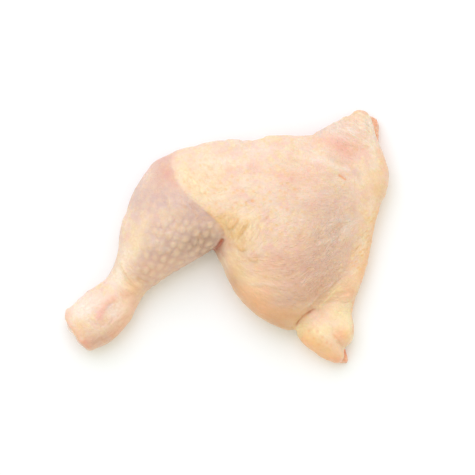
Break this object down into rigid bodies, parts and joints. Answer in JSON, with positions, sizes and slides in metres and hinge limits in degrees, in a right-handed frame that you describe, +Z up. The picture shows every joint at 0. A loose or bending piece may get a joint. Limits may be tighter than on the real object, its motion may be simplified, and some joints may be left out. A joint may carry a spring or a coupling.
{
  "type": "raw chicken leg quarter",
  "caption": "Raw chicken leg quarter lying skin side up: drumstick, thigh, back and tail in one piece, bare meat along the cut.",
  "frame": {"origin": "middle of the base of the bounding box, on the surface it lies on", "axes": "+X from the hock to the cut back, +Y from the tail to the hip, +Z up, skin side up"},
  "size_m": [0.2, 0.1564, 0.0433],
  "materials": {
    "skin": "moist raw poultry skin, cream and pink with lilac on the drumstick",
    "meat": "wet raw meat",
    "cartilage": "wet cartilage"
  },
  "bodies": {
    "root": {"leg_quarter": "skin", "bare_meat": "meat", "hock_joint": "cartilage"}
  },
  "joints": []
}
